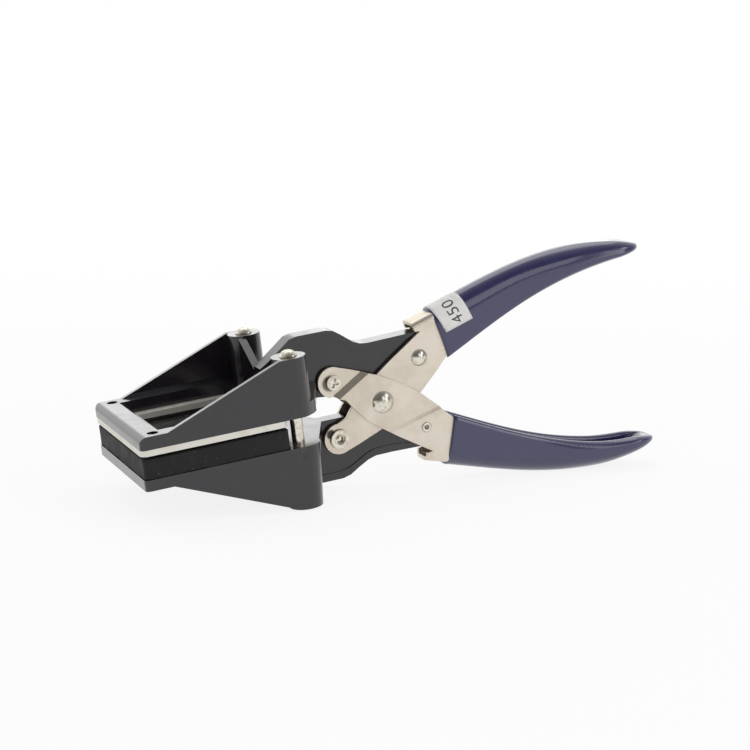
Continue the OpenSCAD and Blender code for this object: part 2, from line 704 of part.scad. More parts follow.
module grip() {
    difference() {
        trough([for (st = grip_stations) [for (q = grip_outer(st[0], 0)) drawn_in(st, q)]],
            [for (st = grip_stations) [for (q = grip_inner(st[0])) drawn_in(st, q)]]);
        both_plates(inner_y, inner_out_y);
        web();
    }
}

module grip_upper() { color([0.13, 0.13, 0.3]) place() grip(); }
module grip_lower() { color([0.13, 0.13, 0.3]) place() mirror([0, 0, 1]) grip(); }

// Label: a thin band round the back and both sides of the upper grip
label_start = 0.045;
label_end = 0.19;
label_gap = 0.02;
label_steps = 5;
label_ts = [for (i = [0:label_steps]) label_start + (label_end - label_start) * i / label_steps];
function label_line(t, grow) = let (w = half_w_at(t) + grow, all = grip_outer(t, grow), n = len(all))
    concat([[label_d, -w]], [for (i = [3:n - 4]) all[i]], [[label_d, w]]);
module grip_label() {
    color([0.88, 0.88, 0.88]) place()
        trough([for (t = label_ts) [for (q = label_line(t, label_t)) on_grip(t, q)]],
            [for (t = label_ts) [for (q = label_line(t, label_gap)) on_grip(t, q)]]);
}

// Rivet across the handles with a dome on each side
module domed_rivet(p, r, dome_radius, dome_height, half) {
    cross_pin(p, r, -half - eps, half + eps);
    for (s = [-1, 1]) dome(p, dome_radius, dome_height, s * half, s);
}

module main_rivet() {
    color([0.85, 0.83, 0.8]) place() domed_rivet([0, 0], main_r, main_dome_r, main_dome_h, outer_out_y);
}

module pivot_spacer() {
    color([0.6, 0.6, 0.6]) place() difference() {
        cross_pin([0, 0], coil_r * cos(180 / rings_per_curl) - wire_d / 2 - 0.3, -inner_y + side_gap,
            inner_y - side_gap);
        cross_pin([0, 0], main_r + run_gap, -big, big);
    }
}

module front_screw() {
    color([0.85, 0.83, 0.8]) place() difference() {
        union() {
            cross_pin(front_pin, screw_r, -inner_out_y - eps, inner_out_y + 2.4);
            cross_pin(front_pin, screw_head_r, -inner_out_y - screw_head_h, -inner_out_y);
        }
        for (a = [0, 90]) translate([front_pin[0], -inner_out_y - screw_head_h, front_pin[1]])
            rotate([0, a + 20, 0]) cube([4, 2, 0.9], center = true);
    }
}

module front_nut() {
    color([0.85, 0.83, 0.8]) place() difference() {
        translate([front_pin[0], inner_out_y, front_pin[1]]) rotate([-90, 0, 0])
            cylinder(r = screw_r + 1.9, h = 2, $fn = 6);
        cross_pin(front_pin, screw_r, 0, big);
    }
}

module front_rivet() {
    p = [front_pin[0], -front_pin[1]];
    color([0.88, 0.86, 0.82]) place() {
        for (s = [-1, 1]) dome(p, ring_hole_r - 0.5, 0.9, s * (inner_out_y - 0.7), s);
        difference() {
        union() {
            cross_pin(p, ring_r, -inner_out_y - eps, inner_out_y + eps);
            for (s = [-1, 1]) cross_pin(p, ring_head_r, s * (inner_out_y + ring_head_h / 2) - ring_head_h / 2,
                s * (inner_out_y + ring_head_h / 2) + ring_head_h / 2);
        }
        for (s = [-1, 1]) cross_pin(p, ring_hole_r, s * (inner_out_y + 2) - 2.6, s * (inner_out_y + 2) + 2.6);
        }
    }
}

module slot_rivet_upper() {
    color([0.85, 0.83, 0.8]) place()
        domed_rivet(rear_pin(open_angle), slot_r, slot_dome_r, slot_dome_h, inner_out_y);
}

module slot_rivet_lower() {
    p = [rear_pin(open_angle)[0], -rear_pin(open_angle)[1]];
    color([0.85, 0.83, 0.8]) place() difference() {
        cross_pin(p, hollow_r, -inner_out_y - 0.3, inner_out_y + 0.3);
        for (s = [-1, 1]) cross_pin(p, hollow_hole_r, s * inner_out_y - 2, s * inner_out_y + 2);
    }
}

// Return spring: a coil round the spacer whose two ends push the jaw arms apart
ring_sides = 6;
rings_per_curl = 8;
coil_len = (curls + 0.5) * curl_pitch;
leg_x = -7;
function coil_point(u) = let (a = 90 - 360 * u) [coil_r * cos(a), -coil_len / 2 + curl_pitch * u, coil_r * sin(a)];
leg_z = arm_clear - wire_d / 2 - 0.35;
leg_mid = [leg_x * 0.43, coil_r + (leg_z - coil_r) * 0.46];
spring_path = concat(
    [[leg_x, -coil_len / 2, leg_z], [leg_mid[0], -coil_len / 2, leg_mid[1]]],
    [for (i = [0:rings_per_curl * curls + rings_per_curl / 2]) coil_point(i / rings_per_curl)],
    [[leg_mid[0], coil_len / 2, -leg_mid[1]], [leg_x, coil_len / 2, -leg_z]]);
function path_dir(p, i) = unit(p[min(i + 1, len(p) - 1)] - p[max(i - 1, 0)]);
function wire_ring(p, i) =
    let (d = path_dir(p, i), side = unit(cross(d, [0, 1, 0])), up = cross(side, d))
    [for (k = [0:ring_sides - 1]) let (a = 360 * k / ring_sides)
        p[i] + wire_d / 2 * (cos(a) * side + sin(a) * up)];

// Least gap between stretches of the wire that lie more than half a curl apart
wire_gap = min([for (i = [0:len(spring_path) - 1]) for (j = [i + rings_per_curl / 2:1:len(spring_path) - 1])
    norm(spring_path[i] - spring_path[j])]) - wire_d;

module return_spring() {
    echo(least_gap_of_spring_to_itself = wire_gap);
    color([0.5, 0.5, 0.5]) place() skin([for (i = [0:len(spring_path) - 1]) wire_ring(spring_path, i)]);
}

upper_jaw();
lower_jaw();
die_plate();
die_screws();
punch();
punch_screws();
stripper_pad();
guide_pin_near();
guide_pin_far();
guide_bush_near();
guide_bush_far();
handle_a();
handle_b();
grip_lower();
grip_upper();
grip_label();
main_rivet();
pivot_spacer();
return_spring();
front_screw();
front_nut();
front_rivet();
slot_rivet_upper();
slot_rivet_lower();
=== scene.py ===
# %% [markdown]
# # Photo cutter punch
# A hand punch that cuts a small portrait photo out of a print. Two painted
# castings carry a steel die and a punch, and a pair of pliers handles moves them
# together in parallel. The solids come measured and in place, so this lesson is
# about their surfaces: eased edges, enamel, nickel, vinyl and rubber.

# %% Load the measured parts
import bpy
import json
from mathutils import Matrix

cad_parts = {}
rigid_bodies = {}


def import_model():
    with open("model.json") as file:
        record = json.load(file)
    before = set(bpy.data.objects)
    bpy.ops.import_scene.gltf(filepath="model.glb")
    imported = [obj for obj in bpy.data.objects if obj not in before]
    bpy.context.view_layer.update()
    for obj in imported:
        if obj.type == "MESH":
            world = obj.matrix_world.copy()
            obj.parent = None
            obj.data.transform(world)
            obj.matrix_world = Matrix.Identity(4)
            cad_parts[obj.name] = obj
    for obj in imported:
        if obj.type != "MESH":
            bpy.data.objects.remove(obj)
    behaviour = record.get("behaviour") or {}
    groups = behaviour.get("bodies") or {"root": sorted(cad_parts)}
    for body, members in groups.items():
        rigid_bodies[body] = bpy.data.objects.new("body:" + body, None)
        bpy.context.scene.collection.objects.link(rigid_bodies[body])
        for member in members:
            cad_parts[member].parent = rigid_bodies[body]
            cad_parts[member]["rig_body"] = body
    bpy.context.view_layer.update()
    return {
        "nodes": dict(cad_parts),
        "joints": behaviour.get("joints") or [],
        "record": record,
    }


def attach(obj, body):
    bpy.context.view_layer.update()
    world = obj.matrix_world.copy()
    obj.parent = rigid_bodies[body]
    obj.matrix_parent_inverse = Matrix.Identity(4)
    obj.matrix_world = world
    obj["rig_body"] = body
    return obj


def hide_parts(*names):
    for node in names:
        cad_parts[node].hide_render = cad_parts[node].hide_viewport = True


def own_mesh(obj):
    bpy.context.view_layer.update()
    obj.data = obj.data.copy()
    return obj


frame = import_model()

import json
import math

import bmesh
import bpy
from mathutils import Matrix, Vector, noise

# %% [markdown]
# ## The tool's own axes
# The tool stands tipped on its two feet and its lower grip, but its parts were
# drawn level. Working in the drawing's axes keeps the numbers simple: X runs
# from the head to the grips, Z is up through the jaws and the origin is the main
# rivet. One function turns a drawn point in millimetres into the place where it
# stands in metres.

# %% From drawing to bench
feet_axis = Vector(frame["record"]["mounts"][0]["axis"])
tilt = math.atan2(feet_axis.x, -feet_axis.z)
joint_at = {joint["name"]: Vector(joint["pos_m"]) for joint in frame["joints"]}
main_rivet_at = joint_at["lower_grip_squeeze"]
tip_over = Matrix.Rotation(-tilt, 3, "Y")
mm_in_metre = 1000


def bench(x, y, z):
    """Where a drawn point, in millimetres, stands in metres."""
    return main_rivet_at + tip_over @ Vector((x, y, z)) / mm_in_metre


def drawn(point):
    """The drawn place, in millimetres, of a point on the bench."""
    return tip_over.transposed() @ (Vector(point) - main_rivet_at) * mm_in_metre


front_screw_at = drawn(joint_at["upper_head_level"])
front_rivet_at = drawn(joint_at["upper_grip_squeeze"])
print("tipped by", round(math.degrees(tilt), 2), "degrees; front screw drawn at", front_screw_at)

# %% [markdown]
# ## Camera
# The picture was taken from the tool's near side, a little towards the head and
# a little above, with a long lens, which keeps the near and the far boss almost
# the same size. The camera has a place, a direction to look along and a small
# roll.

# %% Camera
focal_length, sensor_width = 99.85, 36
from_tool = Vector((-0.37205, -0.90821, 0.19168)).normalized()
camera_at = (-0.33360, -0.78729, 0.21270)
roll_degrees = 1.0157

camera_data = bpy.data.cameras.new("camera")
camera_data.lens = focal_length
camera_data.sensor_width = sensor_width
camera_data.dof.use_dof = False
camera = bpy.data.objects.new("camera", camera_data)
bpy.context.scene.collection.objects.link(camera)
camera.location = camera_at
camera.rotation_mode = "QUATERNION"
level = (-from_tool).to_track_quat("-Z", "Y")
roll = Matrix.Rotation(math.radians(roll_degrees), 3, "Z").to_quaternion()
camera.rotation_quaternion = level @ roll
bpy.context.scene.camera = camera
print("camera axes", [[round(v, 4) for v in row] for row in camera.rotation_quaternion.to_matrix()])

# %% [markdown]
# ## Colours and nodes
# Colours are written as sRGB hex, as a paint chart gives them, and one function
# turns them into the linear values that light is worked out in. A second one
# adds a node to a material. What goes into a socket of the node is either a plain
# value or what another node gives.

# %% Colour and add


def colour(hex_code):
    """Linear RGBA of an sRGB hex colour."""
    channels = [int(hex_code[i : i + 2], 16) / 255 for i in (1, 3, 5)]
    linear = [c / 12.92 if c <= 0.04045 else ((c + 0.055) / 1.055) ** 2.4 for c in channels]
    return (*linear, 1.0)


def add(tree, kind, feeds=(), **settings):
    """One node, with its own settings; each feed is a plain value, a node or a node's socket."""
    made = tree.nodes.new(kind)
    for key, value in settings.items():
        setattr(made, key, value)
    for socket, value in dict(feeds).items():
        if isinstance(value, bpy.types.Node):
            value = value.outputs[0]
        if isinstance(value, bpy.types.NodeSocket):
            tree.links.new(value, made.inputs[socket])
        else:
            made.inputs[socket].default_value = value
    return made


print("mid grey #808080 is", [round(c, 3) for c in colour("#808080")], "in linear light")

# %% [markdown]
# ## How a material starts
# A material starts as one Principled shader with the typical numbers of the real
# one. What varies on it later is measured from the piece itself, in metres, so
# that it stays the same on the bench, in a close-up and when the piece moves.

# %% Start of a material


def start_material(name, **values):
    """A material with one Principled shader, whose plain numbers are set on its own sockets."""
    made = bpy.data.materials.new(name)
    made.use_nodes = True
    tree = made.node_tree
    tree.nodes.clear()
    shader = add(tree, "ShaderNodeBsdfPrincipled", {k.replace("_", " "): v for k, v in values.items()})
    add(tree, "ShaderNodeOutputMaterial", {"Surface": shader})
    where = add(tree, "ShaderNodeTexCoord").outputs["Object"]
    return made, tree, shader, where


# %% [markdown]
# ## Patches
# Real surfaces are never even. Cloudy noise stands for haze, soil, scuffs and
# grain, each with patches of its own real size. One number from the noise is then
# eased between two of its values, so that a patch has a soft edge, and where two
# patterns have to meet, such as dust in the haze, their numbers are multiplied.

# %% Patches and where they overlap


def patches(tree, where, size_mm, stretch=(1, 1, 1), detail=3.0, roughness=0.55):
    """Cloudy noise whose patches are about size_mm across, as a number from 0 to 1."""
    scaled = add(tree, "ShaderNodeMapping", {"Vector": where, "Scale": stretch})
    return add(
        tree,
        "ShaderNodeTexNoise",
        {"Vector": scaled, "Scale": mm_in_metre / size_mm, "Detail": detail, "Roughness": roughness},
    )


def overlap(tree, *patterns):
    """The product of patterns, each eased between two of its values.

    A pattern comes with the two values and, if they shouldn't count as 0 and 1,
    with the two numbers that they count as.
    """
    product = None
    for pattern, low, high, *ends in patterns:
        at_low, at_high = ends or (0.0, 1.0)
        limits = {"From Min": low, "From Max": high, "To Min": at_low, "To Max": at_high}
        part = add(tree, "ShaderNodeMapRange", {"Value": pattern, **limits}, interpolation_type="SMOOTHSTEP")
        if product is not None:
            part = add(tree, "ShaderNodeMath", {0: product, 1: part}, operation="MULTIPLY")
        product = part
    return product


print("patches of 2 mm take a noise scale of", mm_in_metre / 2)

# %% [markdown]
# ## What a finish varies
# Most finishes vary in three ways: other colours lie over the first one in
# patches, the roughness changes from place to place, and there is a relief of a
# few hundredths of a millimetre at most.

# %% Layers and finish


def layered(tree, ground, *layers):
    """A hex colour with others over it; a layer is a number, which says where it covers, and its colour."""
    shade = colour(ground)
    for cover, tone in layers:
        # A Mix node has its colour inputs in places 6 and 7 and its colour output in place 2
        mix = add(tree, "ShaderNodeMix", {0: cover, 6: shade, 7: colour(tone)}, data_type="RGBA")
        shade = mix.outputs[2]
    return shade


def finish(tree, shader, shade, gloss=None, relief=None):
    """Joins a finish to its shader.

    gloss is a pattern, two of its values and the roughness at each. relief is a
    pattern, its depth in millimetres and how strongly it shows.
    """
    tree.links.new(shade, shader.inputs["Base Color"])
    if gloss:
        tree.links.new(overlap(tree, gloss).outputs[0], shader.inputs["Roughness"])
    if relief:
        height, depth_mm, strength = relief
        feeds = {"Height": height, "Distance": depth_mm / mm_in_metre, "Strength": strength}
        bump = add(tree, "ShaderNodeBump", feeds)
        tree.links.new(bump.outputs[0], shader.inputs["Normal"])


print("a relief of 0.01 mm is a bump distance of", 0.01 / mm_in_metre)

# %% [markdown]
# ## Gloss enamel on castings
# The jaws are zinc or iron castings, sprayed with black gloss enamel and stoved.
# The enamel hides the grain of the casting but keeps a faint orange peel, which
# breaks up the reflection of the studio, and handling leaves dust. The pattern
# sizes are real ones: orange peel about 1.3 mm across and specks of dust a fifth
# of a millimetre wide. Round the near guide pin's foot the paint is broken in a
# ragged brownish ring, where the pin was pressed in after painting.

# %% Black enamel
peel_mm, haze_mm, dust_spacing_mm, crumb_mm = 1.3, 9.0, 2.6, 1.4
# The pad and the near pin stand on the lower casting's deck, at this height in the drawing
deck_top = -3.7
near_pin_foot = bench(-45.3, -27.56, deck_top)
# The paint is quite broken up to this radius round the pin, and sound beyond the width
ring_radius, ring_width = 3.8, 3.4
broken_from, broken_to = ring_radius / mm_in_metre, (ring_radius + ring_width) / mm_in_metre


def distance_from(tree, where, at, counts):
    """Distance in metres from a bench point, where counts says how much each direction adds."""
    off = add(tree, "ShaderNodeVectorMath", {0: where, 1: at}, operation="SUBTRACT")
    weighed = add(tree, "ShaderNodeVectorMath", {0: off, 1: counts}, operation="MULTIPLY")
    return add(tree, "ShaderNodeVectorMath", {0: weighed}, operation="LENGTH").outputs["Value"]


def enamel_material(name, pin_feet=()):
    """Black enamel, with broken paint round the feet of pins."""
    made, tree, shader, where = start_material(
        name, Base_Color=colour("#1b171d"), Roughness=0.22, IOR=1.5, Coat_Weight=0.55, Coat_Roughness=0.1
    )
    haze = patches(tree, where, haze_mm, detail=4.0, roughness=0.7)
    specks = add(tree, "ShaderNodeTexVoronoi", {"Vector": where, "Scale": mm_in_metre / dust_spacing_mm})
    dust = overlap(tree, (specks, 0.02, 0.06, 0.6, 0.0), (haze, 0.55, 0.68))
    layers = [(overlap(tree, (haze, 0.5, 0.75)), "#211e24"), (dust, "#6e6b68")]
    for foot in pin_feet:
        away = distance_from(tree, where, foot, (1, 1, 0.5))
        crumbs = patches(tree, where, crumb_mm, detail=4.0, roughness=0.75)
        broken = overlap(tree, (away, broken_from, broken_to, 1.0, 0.0), (crumbs, 0.42, 0.56))
        layers.append((broken, "#8a7a66"))
    finish(
        tree,
        shader,
        layered(tree, "#1a161c", *layers),
        gloss=(haze, 0.25, 0.8, 0.17, 0.3),
        relief=(patches(tree, where, peel_mm, detail=1.0), 0.01, 0.4),
    )
    return made


black_enamel = enamel_material("black_stoved_enamel")
black_enamel_lower = enamel_material("black_stoved_enamel_lower", [near_pin_foot])
print("enamel: peel every", peel_mm, "mm, dust every", dust_spacing_mm, "mm")

# %% [markdown]
# ## Enamel on the edges
# Sprayed paint draws back from a sharp edge and dries thinner there, so the edges
# wear first. It is the same enamel, duller and greyer, with small bare chips where
# two patterns meet: the chips themselves and the places that hands rub.

# %% Worn enamel for the edges
chip_mm, rub_mm = 1.1, 12.0
worn_enamel, tree, shader, where = start_material(
    "enamel_rubbed_thin_on_edges",
    Base_Color=colour("#29252b"),
    Roughness=0.3,
    IOR=1.52,
    Coat_Weight=0.3,
    Coat_Roughness=0.2,
)
chips = patches(tree, where, chip_mm, detail=3.0, roughness=0.7)
rubs = patches(tree, where, rub_mm, detail=2.0)
bare = overlap(tree, (chips, 0.52, 0.66), (rubs, 0.45, 0.65))
finish(
    tree,
    shader,
    layered(tree, "#28242a", (bare, "#8d8882")),
    gloss=(chips, 0.3, 0.7, 0.24, 0.42),
    relief=(chips, 0.01, 0.4),
)
print("worn enamel: chips every", chip_mm, "mm, rubbed every", rub_mm, "mm")

# %% [markdown]
# ## Ground steel
# The die plate is tool steel, hardened and then ground flat. The grinding wheel
# leaves fine parallel lines, far finer than the render can show, so they are
# drawn 0.25 mm apart and very shallow. Its pale colour and half-metal share are a
# painted sheen, which keeps the plate pale where it sees only dark things. Its cut
# edge is the brightest line on the head.

# %% Ground steel
line_length_mm, line_spacing_mm, tarnish_mm = 6.0, 0.25, 7.0
across = line_length_mm / line_spacing_mm
# The pale base colour and the half-metal share are painted sheen, standing in for reflected light.
ground_steel, tree, shader, where = start_material(
    "ground_tool_steel", Base_Color=colour("#e0ddd4"), Metallic=0.5, Roughness=0.42
)
lines = patches(tree, where, line_length_mm, stretch=(1, across, across), detail=2.0)
tarnish = patches(tree, where, tarnish_mm, detail=4.0)
finish(
    tree,
    shader,
    layered(tree, "#e6e3da", (overlap(tree, (tarnish, 0.45, 0.75)), "#d9d4c8")),
    gloss=(lines, 0.3, 0.7, 0.4, 0.55),
    relief=(lines, 0.01, 0.35),
)
print("grinding lines:", line_length_mm, "by", line_spacing_mm, "mm")

# %% [markdown]
# ## Punch steel, darkened as painted shade
# The punch is the same steel. It hides inside the head, and its colour is made
# dark to paint the shade that falls in there. The oil it was stored in leaves
# smooth, almost mirror-like patches.

# %% Punch steel, darkened as painted shade
oil_mm = 16.0
# The dark base colour and its darker patches are painted shade for the inside of the head.
shade_darkened_steel, tree, shader, where = start_material(
    "steel_darkened_as_painted_shade", Base_Color=colour("#35322e"), Metallic=1.0, Roughness=0.3
)
film = patches(tree, where, oil_mm, detail=3.0)
finish(
    tree,
    shader,
    layered(tree, "#35322e", (overlap(tree, (film, 0.4, 0.7)), "#2a2723")),
    gloss=(film, 0.3, 0.7, 0.2, 0.36),
)
print("oil film in patches of", oil_mm, "mm")

# %% [markdown]
# ## Nickel plate on pressed steel
# The handles are blanked and folded from 1.6 mm strip and nickel plated, which
# gives a warm grey, half bright surface. The press leaves the sheet with a soft
# matt grain and a few long scratches from tumbling. Dark rings are set at the pins
# by distance. The thin rings round each head are grease and painted shade in the
# crease. The patches set off to one side of the front screw and the front rivet
# are painted shade only.

# %% Nickel plate
# A scratch is 22 times as long as it is wide
cloud_mm, grain_mm, scratch_mm, scratch_slimness = 14.0, 0.5, 3.0, 22
# The rear rivets lie this far from the main rivet, this much above and below its level
rear_link, rear_angle = 24.2, math.radians(38.7)
upper_slot_at = Vector((rear_link * math.cos(rear_angle), 0, rear_link * math.sin(rear_angle)))
lower_slot_at = Vector((upper_slot_at.x, 0, -upper_slot_at.z))
# The near face of the handles, across the tool
near_plate = -6.5


def nickel_material(name, grime_and_shade):
    """Nickel plate with dark rings of grime and painted shade: each is a place, a radius, a width and a
    strength.
    """
    made, tree, shader, where = start_material(
        name, Base_Color=colour("#e6dccd"), Metallic=1.0, Roughness=0.42
    )
    clouds = patches(tree, where, cloud_mm, detail=4.0, roughness=0.6)
    grain = patches(tree, where, grain_mm, detail=2.0)
    scratches = patches(tree, where, scratch_mm, stretch=(1, 1, scratch_slimness), detail=2.0)
    dirt_and_shade = None
    for at, radius, width, strength in grime_and_shade:
        away = distance_from(tree, where, bench(at[0], near_plate, at[2]), (1, 0.35, 1))
        ring = overlap(tree, (away, radius / mm_in_metre, (radius + width) / mm_in_metre, strength, 0.0))
        dirt_and_shade = add(tree, "ShaderNodeMath", {0: dirt_and_shade, 1: ring}, operation="MAXIMUM") if dirt_and_shade else ring
    uneven = overlap(tree, (clouds, 0.2, 0.5, 0.75, 1.0))
    ragged = add(tree, "ShaderNodeMath", {0: dirt_and_shade, 1: uneven}, operation="MULTIPLY")
    # The dark brown layer is grime and painted shade round the pins.
    finish(
        tree,
        shader,
        layered(tree, "#e4dbce", (overlap(tree, (clouds, 0.35, 0.7)), "#d6cbbb"), (ragged, "#2b2620")),
        gloss=(scratches, 0.3, 0.75, 0.36, 0.5),
        relief=(grain, 0.004, 0.4),
    )
    return made


# The ring set off to the left of the front screw is painted shade; the rings at the rivet heads are grime and
# painted shade.
nickel_a = nickel_material(
    "nickel_plate_outer_handle",
    [
        (front_screw_at + Vector((-1.5, 0, -0.2)), 2.6, 1.2, 0.75),
        (Vector((0, 0, 0)), 4.5, 0.5, 0.55),
        (lower_slot_at, 2.0, 0.5, 0.6),
    ],
)
# The patch above and to the left of the front rivet is painted shade; the thinner rings are grime and painted
# shade.
nickel_b = nickel_material(
    "nickel_plate_inner_handle",
    [
        (front_rivet_at + Vector((-3.4, 0, 2.6)), 1.5, 1.1, 0.93),
        (front_rivet_at + Vector((-0.3, 0, 0.3)), 3.9, 0.5, 0.5),
        (upper_slot_at, 3.4, 0.5, 0.5),
    ],
)
print("nickel plate: three rings of grime on each handle")

# %% [markdown]
# ## Bright nickel
# Rivets and screws are plated too, but they were turned and not pressed, so they
# are smoother. A dome mirrors the whole studio in a small round picture.

# %% Bright nickel
mark_mm, wave_mm = 1.6, 0.8
bright_nickel, tree, shader, where = start_material(
    "bright_nickel_rivets", Base_Color=colour("#d6d0c4"), Metallic=1.0, Roughness=0.16
)
marks = patches(tree, where, mark_mm, detail=3.0)
finish(
    tree,
    shader,
    layered(tree, "#e2ddd2", (overlap(tree, (marks, 0.4, 0.75)), "#c4baa6")),
    gloss=(marks, 0.3, 0.8, 0.18, 0.3),
    relief=(patches(tree, where, wave_mm, detail=1.0), 0.004, 0.3),
)
print("bright nickel: marks every", mark_mm, "mm")

# %% [markdown]
# ## Dipped vinyl
# The grips are made by dipping the hot steel in liquid PVC, which gels to a thick
# even skin. It is glossy and slightly wavy, a deep navy all through, so it takes
# no edge wear, only fine scuffs that scatter a little light.

# %% Navy vinyl
sag_mm, scuff_mm = 6.0, 5.0
navy_vinyl, tree, shader, where = start_material(
    "dipped_navy_vinyl",
    Base_Color=colour("#211f50"),
    Roughness=0.26,
    IOR=1.55,
    Coat_Weight=0.9,
    Coat_Roughness=0.1,
)
sag = patches(tree, where, sag_mm, detail=1.0)
scuffs = patches(tree, where, scuff_mm, detail=3.0, roughness=0.6)
finish(
    tree,
    shader,
    layered(tree, "#211f50", (overlap(tree, (scuffs, 0.4, 0.8)), "#262455")),
    gloss=(scuffs, 0.3, 0.8, 0.22, 0.32),
    relief=(sag, 0.015, 0.3),
)
print("vinyl: waves of", sag_mm, "mm, scuffs of", scuff_mm, "mm")

# %% [markdown]
# ## Moulded rubber
# The pad round the punch is moulded nitrile rubber. The mould leaves a matt grit,
# a dull bloom comes out of the rubber with age, and pale paper dust clings to it.

# %% Nitrile rubber
mote_spacing_mm, bloom_mm, grit_mm = 1.9, 8.0, 0.6
nitrile_rubber, tree, shader, where = start_material(
    "moulded_nitrile_rubber", Base_Color=colour("#18181b"), Roughness=0.7, IOR=1.48
)
bloom = patches(tree, where, bloom_mm, detail=4.0, roughness=0.65)
motes = add(tree, "ShaderNodeTexVoronoi", {"Vector": where, "Scale": mm_in_metre / mote_spacing_mm})
clinging = overlap(tree, (motes, 0.05, 0.12, 1.0, 0.0), (bloom, 0.45, 0.6))
finish(
    tree,
    shader,
    layered(tree, "#0f0f11", (overlap(tree, (bloom, 0.4, 0.75)), "#222224"), (clinging, "#8a8886")),
    gloss=(bloom, 0.3, 0.7, 0.62, 0.82),
    relief=(patches(tree, where, grit_mm, detail=2.0), 0.03, 0.5),
)
print("rubber: a mote every", mote_spacing_mm, "mm")

# %% [markdown]
# ## Label film and ink
# The label is white coated film, a little grey with handling, and it follows
# every small lump of the glue under it. The numbers are printed in dark ink,
# which has worn to a soft grey.

# %% Label film and ink
soil_mm, glue_lump_mm, ink_wear_mm = 4.0, 2.2, 0.7
label_film, tree, shader, where = start_material(
    "coated_label_film", Base_Color=colour("#eeecea"), Roughness=0.42
)
soil = patches(tree, where, soil_mm, detail=4.0, roughness=0.7)
finish(
    tree,
    shader,
    layered(tree, "#e2e1de", (overlap(tree, (soil, 0.45, 0.8)), "#cfcdca")),
    gloss=(soil, 0.3, 0.8, 0.36, 0.55),
    relief=(patches(tree, where, glue_lump_mm, detail=2.0), 0.02, 0.5),
)

printing_ink, tree, shader, where = start_material(
    "grey_printing_ink", Base_Color=colour("#4a4a4e"), Roughness=0.55
)
worn_off = overlap(tree, (patches(tree, where, ink_wear_mm), 0.4, 0.75))
finish(tree, shader, layered(tree, "#434347", (worn_off, "#6a6a6e")))
print("film: soil every", soil_mm, "mm; ink: wear every", ink_wear_mm, "mm")

# %% [markdown]
# ## Hidden metals
# The screws are blackened steel, the bushes are sintered bronze and the spring is
# drawn wire. Little of them shows, so each has only two tones of its own colour.

# %% Hidden metals


def plain_metal(name, typical, roughness, spots_mm, low, high, ground, spots):
    """A metal with spots of a second tone, where the noise goes from low to high."""
    made, tree, shader, where = start_material(
        name, Base_Color=colour(typical), Metallic=1.0, Roughness=roughness
    )
    spotted = overlap(tree, (patches(tree, where, spots_mm), low, high))
    finish(tree, shader, layered(tree, ground, (spotted, spots)))
    return made


blackened_steel = plain_metal("blackened_steel", "#3a3a3d", 0.4, 1.5, 0.4, 0.7, "#343437", "#55524e")
sintered_bronze = plain_metal("sintered_bronze", "#a98a55", 0.42, 0.8, 0.35, 0.7, "#b08f58", "#7f6a45")
drawn_wire = plain_metal("drawn_spring_wire", "#8e8c88", 0.28, 2.0, 0.4, 0.7, "#98958f", "#6c6862")
print("materials:", len(bpy.data.materials))

# %% [markdown]
# ## Easing the edges
# No cast, pressed or ground edge is perfectly sharp, and the thin highlight along
# an edge is what tells the eye what it is made of. A measured part is copied, its
# flat faces are joined into single faces, and a bevel of the real edge radius is
# laid along every corner sharper than 30 degrees. Weighted normals keep the wide
# faces flat in the shading, so that only the small bevels turn.

# %% Edge easing
sharp, flat_within = math.radians(30), math.radians(0.6)


def eased(node, material, radius_mm, segments=2, edge_material=None, weld_mm=0.002):
    """A copy of a measured part with eased edges, which stands for it."""
    source = frame["nodes"][node]
    shape = bmesh.new()
    shape.from_mesh(source.data)
    bmesh.ops.remove_doubles(shape, verts=shape.verts, dist=weld_mm / mm_in_metre)
    bmesh.ops.dissolve_limit(
        shape, angle_limit=flat_within, use_dissolve_boundaries=False, verts=shape.verts, edges=shape.edges
    )
    shape.verts.index_update()
    mesh = bpy.data.meshes.new(node + "_eased")
    mesh.from_pydata([v.co[:] for v in shape.verts], [], [[v.index for v in f.verts] for f in shape.faces])
    shape.free()
    mesh.polygons.foreach_set("use_smooth", [True] * len(mesh.polygons))
    mesh.materials.append(material)
    mesh.materials.append(edge_material or material)
    piece = bpy.data.objects.new(node + "_eased", mesh)
    bpy.context.scene.collection.objects.link(piece)
    ease = piece.modifiers.new("eased_edges", "BEVEL")
    ease.width = radius_mm / mm_in_metre
    ease.segments = segments
    ease.limit_method = "ANGLE"
    ease.angle_limit = sharp
    ease.use_clamp_overlap = True
    ease.material = 1
    flat = piece.modifiers.new("flat_faces_stay_flat", "WEIGHTED_NORMAL")
    flat.keep_sharp = True
    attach(piece, source["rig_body"])
    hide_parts(node)
    print(node, "eased by", radius_mm, "mm:", len(mesh.vertices), "points")


print("eased where a corner turns more than", round(math.degrees(sharp)), "degrees")

# %% [markdown]
# ## The two castings
# Die cast jaws have edges of about half a millimetre radius, made rounder still by
# the paint. They are the largest black shapes, and their edges catch the light.

# %% Castings
eased("upper_jaw", black_enamel, 0.45, 3, worn_enamel)
eased("lower_jaw", black_enamel_lower, 0.45, 3, worn_enamel)

# %% [markdown]
# ## Die, punch and screws
# Ground parts keep crisp edges, broken by a few strokes of a stone.

# %% Die, punch and screws
eased("die_plate", ground_steel, 0.15)
eased("punch", shade_darkened_steel, 0.1)
for node in ("die_screws", "punch_screws"):
    eased(node, blackened_steel, 0.12)

# %% [markdown]
# ## Handles and their fastenings
# Pressed steel has a slightly rolled edge on one side and a small burr on the
# other, so its edges are eased by almost a quarter of a millimetre. Pins, bushes
# and domed rivets are round already and keep their measured shape.

